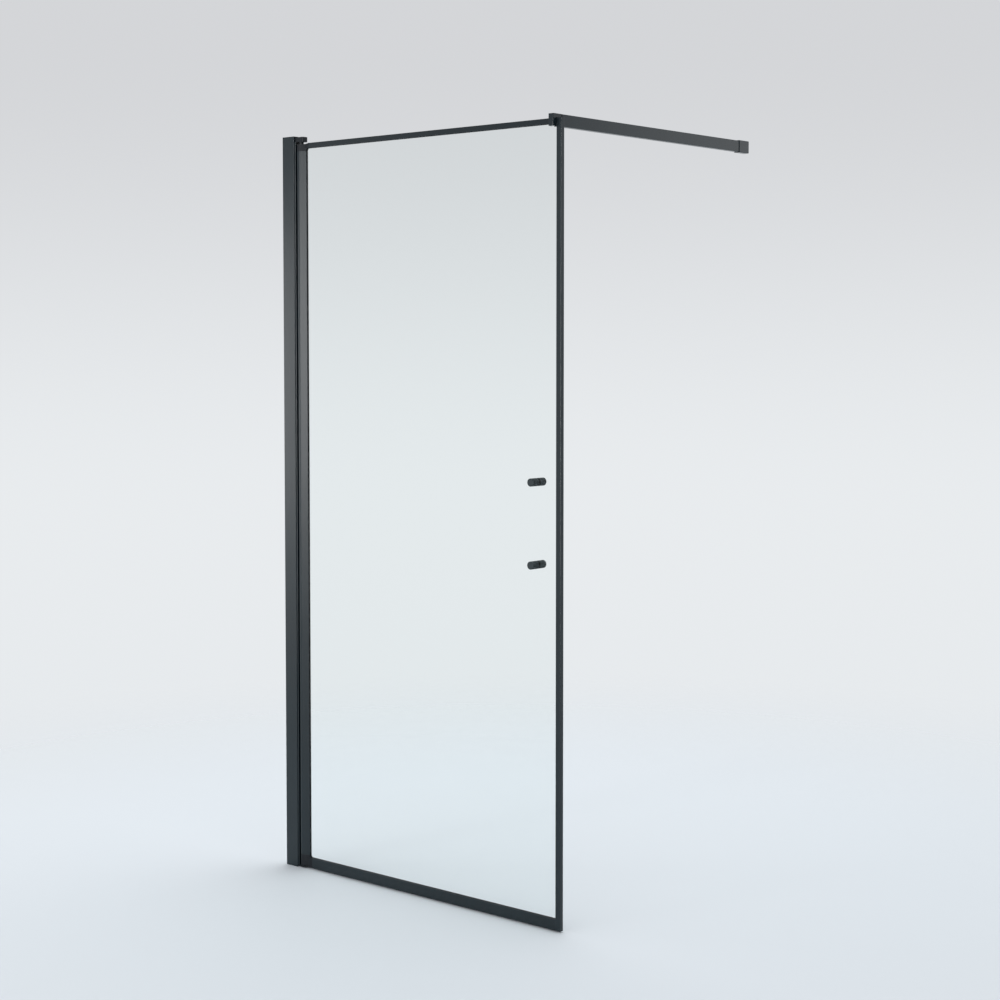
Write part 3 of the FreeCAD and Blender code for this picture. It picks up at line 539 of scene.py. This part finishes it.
def bridge(bm, low, high):
    """Faces between two rings, either of which may be a single point."""
    count = max(len(low), len(high))
    for index in range(count):
        following = (index + 1) % count
        under = [low[index % len(low)], low[following % len(low)]]
        over = [high[following % len(high)], high[index % len(high)]]
        bm.faces.new(list(dict.fromkeys(under + over)))


def turn(bm, rings, place, hollow=False):
    """Adds a turned shape: rings of (radius, height) about the Z axis, where a radius may vary by angle."""
    loops = []
    for radius, height in rings:
        if radius == 0:
            loops.append([bm.verts.new(place @ Vector((0, 0, height)))])
            continue
        loop = []
        for side in range(SIDES):
            angle = math.tau * side / SIDES
            reach = radius(angle) if callable(radius) else radius
            point = Vector((reach * math.cos(angle), reach * math.sin(angle), height))
            loop.append(bm.verts.new(place @ point))
        loops.append(loop)
    for low, high in zip(loops, loops[1:]):
        bridge(bm, low, high)
    if hollow:
        bridge(bm, loops[-1], loops[0])


def extrude(bm, outline, places):
    """Adds a bar: the outline at both ends of a run, joined by sides and closed by flat ends."""
    ends = [[bm.verts.new(place @ Vector((*point, 0))) for point in outline] for place in places]
    bridge(bm, *ends)
    for end in ends:
        bm.faces.new(end)


def axis_place(point, direction):
    """A frame at a point with its Z axis along a direction."""
    return Matrix.Translation(point) @ Vector(direction).to_track_quat("Z", "Y").to_matrix().to_4x4()


def solids_of(node):
    """Lowest and highest corners of each separate solid in a node."""
    bm = welded(node)
    left = set(bm.verts)
    boxes = []
    while left:
        found = [left.pop()]
        for vert in found:
            near = {edge.other_vert(vert) for edge in vert.link_edges} & left
            left -= near
            found.extend(near)
        spans = [[vert.co[axis] for vert in found] for axis in (X, Y, Z)]
        boxes.append((Vector(map(min, spans)), Vector(map(max, spans))))
    bm.free()
    return sorted(boxes, key=lambda box: tuple(box[0]))


def round_axis(low, high):
    """The axis of a turned solid: the one whose two others have the same size."""
    size = high - low
    return min((X, Y, Z), key=lambda axis: abs(size[axis - 1] - size[axis - 2]))


def lobed(radius):
    """A six-lobe socket's radius by angle."""
    return lambda angle: radius * (1 + LOBE_DEPTH * math.cos(LOBES * angle))


def hexagonal(apothem):
    """A hexagon socket's radius by angle."""
    wedge = math.tau / HEXAGON_SIDES
    return lambda angle: apothem / math.cos((angle % wedge) - wedge / 2)


def knob(node):
    """A turned knob: rounded rim, slightly dished end and a bore for its stud."""
    low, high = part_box(node)
    centre = (low + high) / 2
    outward = 1 if centre.y > 0 else -1
    radius = (high.x - low.x) / 2
    length = high.y - low.y
    foot = Vector((centre.x, low.y if outward > 0 else high.y, centre.z))
    stud_low, stud_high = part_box(node.split("_")[0] + "_knob_stud")
    stud_reach = abs((stud_high.y if outward > 0 else stud_low.y) - foot.y)
    bore = (stud_high.x - stud_low.x) / 2 + HAIR_GAP
    bore_end = min(length * KNOB_BORE_LIMIT, stud_reach + HAIR_GAP)
    dish = radius - KNOB_DISH_RIM
    profile = rounded(
        [
            (0.0, bore_end, 0.0),
            (bore, bore_end, 0.0),
            (bore, 0.0, 0.0),
            (radius, 0.0, KNOB_FOOT_EDGE),
            (radius, length, KNOB_EDGE),
            (dish + KNOB_DISH, length, KNOB_DISH / 2),
            (dish, length - KNOB_DISH, KNOB_DISH / 2),
            (0.0, length - KNOB_DISH, 0.0),
        ],
        closed=False,
    )
    bm = bmesh.new()
    turn(bm, [tuple(point) for point in profile], Matrix.Identity(4))
    stand_in(bm, node, "_turned", axis_place(foot, (0, outward, 0)))


def knob_washers():
    """The washers between knobs and glass, each a hollow ring with eased edges."""
    stud_low, stud_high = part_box("upper_knob_stud")
    inner = (stud_high.x - stud_low.x) / 2 + HAIR_GAP
    edge = WASHER_EDGE
    bm = bmesh.new()
    for low, high in solids_of("knob_washers"):
        outer = (high.x - low.x) / 2
        top = high.y - low.y
        profile = rounded([(inner, 0, edge), (outer, 0, edge), (outer, top, edge), (inner, top, edge)])
        middle = (low + high) / 2
        place = axis_place((middle.x, low.y, middle.z), (0, 1, 0))
        turn(bm, [tuple(point) for point in profile], place, hollow=True)
    stand_in(bm, "knob_washers", "_turned")


def socket_screw(bm, low, high, crown_share):
    """Adds a screw that fills a box, its six-lobe head at the high end of its axis."""
    axis = round_axis(low, high)
    length = (high - low)[axis]
    head = (high - low)[axis - 1] / 2
    shank = head * SCREW_SHANK
    head_height = length * SCREW_HEAD
    seat = length - head_height
    socket = head * SCREW_SOCKET
    crown = [
        (head, seat, 0),
        (head, length, head_height * crown_share),
        (head * SCREW_HEAD_FLAT, length, 0),
    ]
    rings = [
        (0, 0),
        (shank * SCREW_POINT_RADIUS, 0),
        (shank, shank * SCREW_POINT_LENGTH),
        (shank, seat),
        *[tuple(point) for point in rounded(crown, closed=False)],
        (lobed(socket * SOCKET_MOUTH), length),
        (lobed(socket), length - SCREW_EDGE / 2),
        (lobed(socket), length - head_height * SCREW_SOCKET_WALL),
        (0, length - head_height * SCREW_SOCKET_DEPTH),
    ]
    direction = Vector()
    direction[axis] = 1
    foot = (low + high) / 2
    foot[axis] = low[axis]
    turn(bm, rings, axis_place(foot, direction))


def screw_group(node, crown_share):
    """All screws of a node, each in its own place."""
    bm = bmesh.new()
    for low, high in solids_of(node):
        socket_screw(bm, low, high, crown_share)
    stand_in(bm, node, "_driven")


def grub_screw(node, toward):
    """A headless screw with a hexagon socket at the end that shows."""
    low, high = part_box(node)
    centre = (low + high) / 2
    length = high.z - low.z
    radius = (high.x - low.x) / 2
    socket = radius * GRUB_SOCKET
    depth = length * GRUB_SOCKET_WALL
    rings = [
        (0, 0),
        (radius * GRUB_POINT_RADIUS, 0),
        (radius, radius * GRUB_POINT_LENGTH),
        (radius, length - SCREW_EDGE),
        (radius - SCREW_EDGE, length),
        (hexagonal(socket * SOCKET_MOUTH), length),
        (hexagonal(socket), length - SCREW_EDGE / 2),
        (hexagonal(socket), length - depth),
        (0, length - depth - socket * GRUB_SOCKET_CONE),
    ]
    foot = Vector((centre.x, centre.y, low.z if toward > 0 else high.z))
    bm = bmesh.new()
    turn(bm, rings, Matrix.Identity(4))
    stand_in(bm, node, "_driven", axis_place(foot, (0, 0, toward)))


def mirrored(half):
    """A closed outline of (x, y, radius) corners from its half on the positive side."""
    return half + [(-across, along, radius) for across, along, radius in reversed(half)]


def gasket(node, along, lip, frame_edge):
    """A glazing gasket: a U round the glass edge whose two lips taper to the glass outside the frame.

    It runs along an axis, its lips point up or down the other one by their sign, and the frame's inner
    edge is where their taper starts.
    """
    low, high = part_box(node)
    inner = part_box("glass_pane")[1].y + HAIR_GAP
    outer = high.y
    base, tip = (high, low) if lip < 0 else (low, high)
    depth_axis = X if along == Z else Z
    depth = abs(tip[depth_axis] - base[depth_axis])
    edge = abs(frame_edge - base[depth_axis])
    half = [
        (outer, 0, TIP_RADIUS),
        (outer, edge, TIP_RADIUS),
        (inner + GASKET_TIP, depth, TIP_RADIUS),
        (inner, depth, 0),
        (inner, GASKET_BASE - HAIR_GAP, 0),
    ]
    columns = [Vector((0, 1, 0)), Vector(), Vector()]
    columns[1][depth_axis] = lip
    columns[2][along] = 1
    turned = Matrix(columns).transposed().to_4x4()
    ends = []
    for stop in (low[along], high[along]):
        origin = Vector()
        origin[depth_axis] = base[depth_axis]
        origin[along] = stop
        ends.append(Matrix.Translation(origin) @ turned)
    bm = bmesh.new()
    extrude(bm, rounded(mirrored(half)), ends)
    stand_in(bm, node, "_lipped")


def sweep():
    """The drip sweep under the bottom rail: a flat root with a blade that tapers to its tip."""
    low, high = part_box("bottom_sweep")
    rail_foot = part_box("bottom_rail")[0].z
    blade = high.y * SWEEP_BLADE
    half = [
        (high.y, high.z, SWEEP_EDGE),
        (high.y, rail_foot, SWEEP_EDGE),
        (blade, rail_foot - SWEEP_STEP, SWEEP_INNER_EDGE),
        (blade * SWEEP_TIP, low.z, TIP_RADIUS / 2),
    ]
    turned = Matrix(((0, 0, 1), (1, 0, 0), (0, 1, 0))).to_4x4()
    bm = bmesh.new()
    ends = [Matrix.Translation((stop, 0, 0)) @ turned for stop in (low.x, high.x)]
    extrude(bm, rounded(mirrored(half)), ends)
    stand_in(bm, "bottom_sweep", "_bladed")


def hinge_seal():
    """The bulb seal in the hinge post that closes the gap to the round stile."""
    low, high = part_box("hinge_seal")
    half = high.y
    bulb = (high.x - low.x) * SEAL_ROUND
    outline = rounded([(low.x, -half, 0), (high.x, -half, bulb), (high.x, half, bulb), (low.x, half, 0)])
    bm = bmesh.new()
    extrude(bm, outline, [Matrix.Translation((0, 0, stop)) for stop in (low.z, high.z)])
    stand_in(bm, "hinge_seal", "_bulb")


def dress_object():
    """Gives every node its finish, then builds the finer pieces that stand for the plain ones."""
    for node, thing in NODES.items():
        thing.data.materials.clear()
        thing.data.materials.append(finish_of(node))
    for node, width in EASES.items():
        eased(node, width)
    # The nuts stand a hair clear of the post's wall, which slides past them
    eased("clamp_nuts", NUT_EDGE, Matrix.Translation((0, -HAIR_GAP, 0)))
    for node in [name for name in NODES if SLOT_OF[name] == "black_knob"]:
        knob(node)
    knob_washers()
    screw_group("clamp_screws", PAN_CROWN)
    screw_group("frame_screws", FLUSH_CROWN)
    grub_screw("saddle_screw", 1)
    grub_screw("socket_screw", -1)
    gasket("top_gasket", X, -1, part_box("top_rail")[0].z)
    gasket("bottom_gasket", X, 1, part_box("bottom_rail")[1].z)
    gasket("hinge_side_gasket", Z, 1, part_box("hinge_stile")[1].x)
    gasket("free_side_gasket", Z, -1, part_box("free_stile")[0].x)
    sweep()
    hinge_seal()


def floor_paint():
    """Pale matt paint that turns clear where the floor fades out."""
    material, tree, shader = new_material("floor")
    point = object_point(tree)
    distance = add_node(tree, "ShaderNodeVectorMath", {0: point}, operation="LENGTH").outputs["Value"]
    fade = add_node(
        tree,
        "ShaderNodeMapRange",
        {"Value": distance, "From Min": FLOOR_FADE[0], "From Max": FLOOR_FADE[1]},
        interpolation_type="SMOOTHSTEP",
    ).outputs["Result"]
    dress(tree, shader, Base_Color=FLOOR_COLOUR, Roughness=0.65, Specular_IOR_Level=0.2)
    let_through(tree, shader, CLEAR, fade)
    return material


def floor():
    """A pale round floor that fades into the backdrop well away from the object."""
    bm = bmesh.new()
    turn(bm, [(0, 0), (FLOOR_RADIUS, 0)], Matrix.Identity(4))
    mesh = bpy.data.meshes.new("floor")
    bm.to_mesh(mesh)
    bm.free()
    mesh.materials.append(floor_paint())
    made = bpy.data.objects.new("floor", mesh)
    bpy.context.scene.collection.objects.link(made)
    middle = (CAD_BOX[0] + CAD_BOX[1]) / 2
    made.location = (middle.x, middle.y, 0)


def backdrop():
    """A pale backdrop for what is seen, directly or in a reflection, and an even fill for the rest."""
    world = bpy.data.worlds.new("backdrop")
    bpy.context.scene.world = world
    world.use_nodes = True
    tree = world.node_tree
    tree.nodes.clear()
    direction = add_node(tree, "ShaderNodeTexCoord").outputs["Generated"]
    height = add_node(tree, "ShaderNodeSeparateXYZ", {"Vector": direction}).outputs["Z"]
    share = add_node(tree, "ShaderNodeMapRange", {"Value": height, "From Min": -1.0}).outputs["Result"]
    ramp = add_node(tree, "ShaderNodeValToRGB", {"Fac": share})
    ramp.color_ramp.interpolation = "EASE"
    stops = ramp.color_ramp.elements
    for place, _ in SKY_STOPS[1:-1]:
        stops.new(place)
    for stop, (place, colour) in zip(stops, SKY_STOPS):
        stop.position = place
        stop.color = (*colour, 1.0)
    seen = add_node(tree, "ShaderNodeBackground", {"Color": ramp.outputs["Color"], "Strength": 1.0})
    fill = add_node(tree, "ShaderNodeBackground", {"Color": FILL_COLOUR, "Strength": FILL_LIGHT})
    rays = add_node(tree, "ShaderNodeLightPath").outputs
    bent = add_node(tree, "ShaderNodeMath", {0: rays["Is Glossy Ray"], 1: rays["Is Transmission Ray"]})
    shown_inputs = {0: rays["Is Camera Ray"], 1: bent.outputs["Value"]}
    shown = add_node(tree, "ShaderNodeMath", shown_inputs, use_clamp=True)
    mix = add_node(tree, "ShaderNodeMixShader", {"Fac": shown.outputs["Value"]})
    tree.links.new(fill.outputs["Background"], mix.inputs[1])
    tree.links.new(seen.outputs["Background"], mix.inputs[2])
    output = add_node(tree, "ShaderNodeOutputWorld")
    tree.links.new(mix.outputs["Shader"], output.inputs["Surface"])


def all_but(name, left_out):
    """Everything but some pieces, which would mirror a lamp as a hard white patch."""
    lit = bpy.data.collections.new(name)
    for piece in left_out:
        lit.objects.link(piece)
    for row in lit.collection_objects:
        row.light_linking.link_state = "EXCLUDE"
    return lit


def softbox(name, place, aim, size, watts, lit):
    """A rectangular soft lamp at a place, turned to a point, for the things it may light."""
    light = bpy.data.lights.new(name, "AREA")
    light.shape = "RECTANGLE"
    light.size, light.size_y = size
    light.energy = watts
    lamp = bpy.data.objects.new(name, light)
    bpy.context.scene.collection.objects.link(lamp)
    lamp.location = place
    lamp.rotation_euler = (Vector(aim) - Vector(place)).to_track_quat("-Z", "Y").to_euler()
    lamp.visible_camera = False
    lamp.visible_transmission = False
    lamp.light_linking.receiver_collection = lit
    return lamp


def lights():
    """Plain soft studio light: a high key, and boxes that give upright faces and edges their sheen."""
    glass = NODES["glass_pane"]
    level = [bpy.data.objects[name] for name in LEVEL_PIECES]
    lit = all_but("without_glass", [glass])
    upright = all_but("without_rails", [glass, *level])
    for name, (place, aim, size, watts) in LAMPS.items():
        lamp = softbox(name, place, aim, size, watts, upright if name in UPRIGHT_LAMPS else lit)
        lamp.visible_diffuse = name != EDGE_LAMP


def camera():
    """The photograph's viewpoint."""
    data = bpy.data.cameras.new("camera")
    data.lens = CAMERA_LENS
    data.shift_y = CAMERA_SHIFT
    made = bpy.data.objects.new("camera", data)
    bpy.context.scene.collection.objects.link(made)
    made.location = CAMERA_PLACE
    made.rotation_euler = (CAMERA_TILT, 0, CAMERA_TURN)
    bpy.context.scene.camera = made


dress_object()
floor()
backdrop()
lights()
camera()
bpy.context.scene.view_settings.view_transform = "Standard"
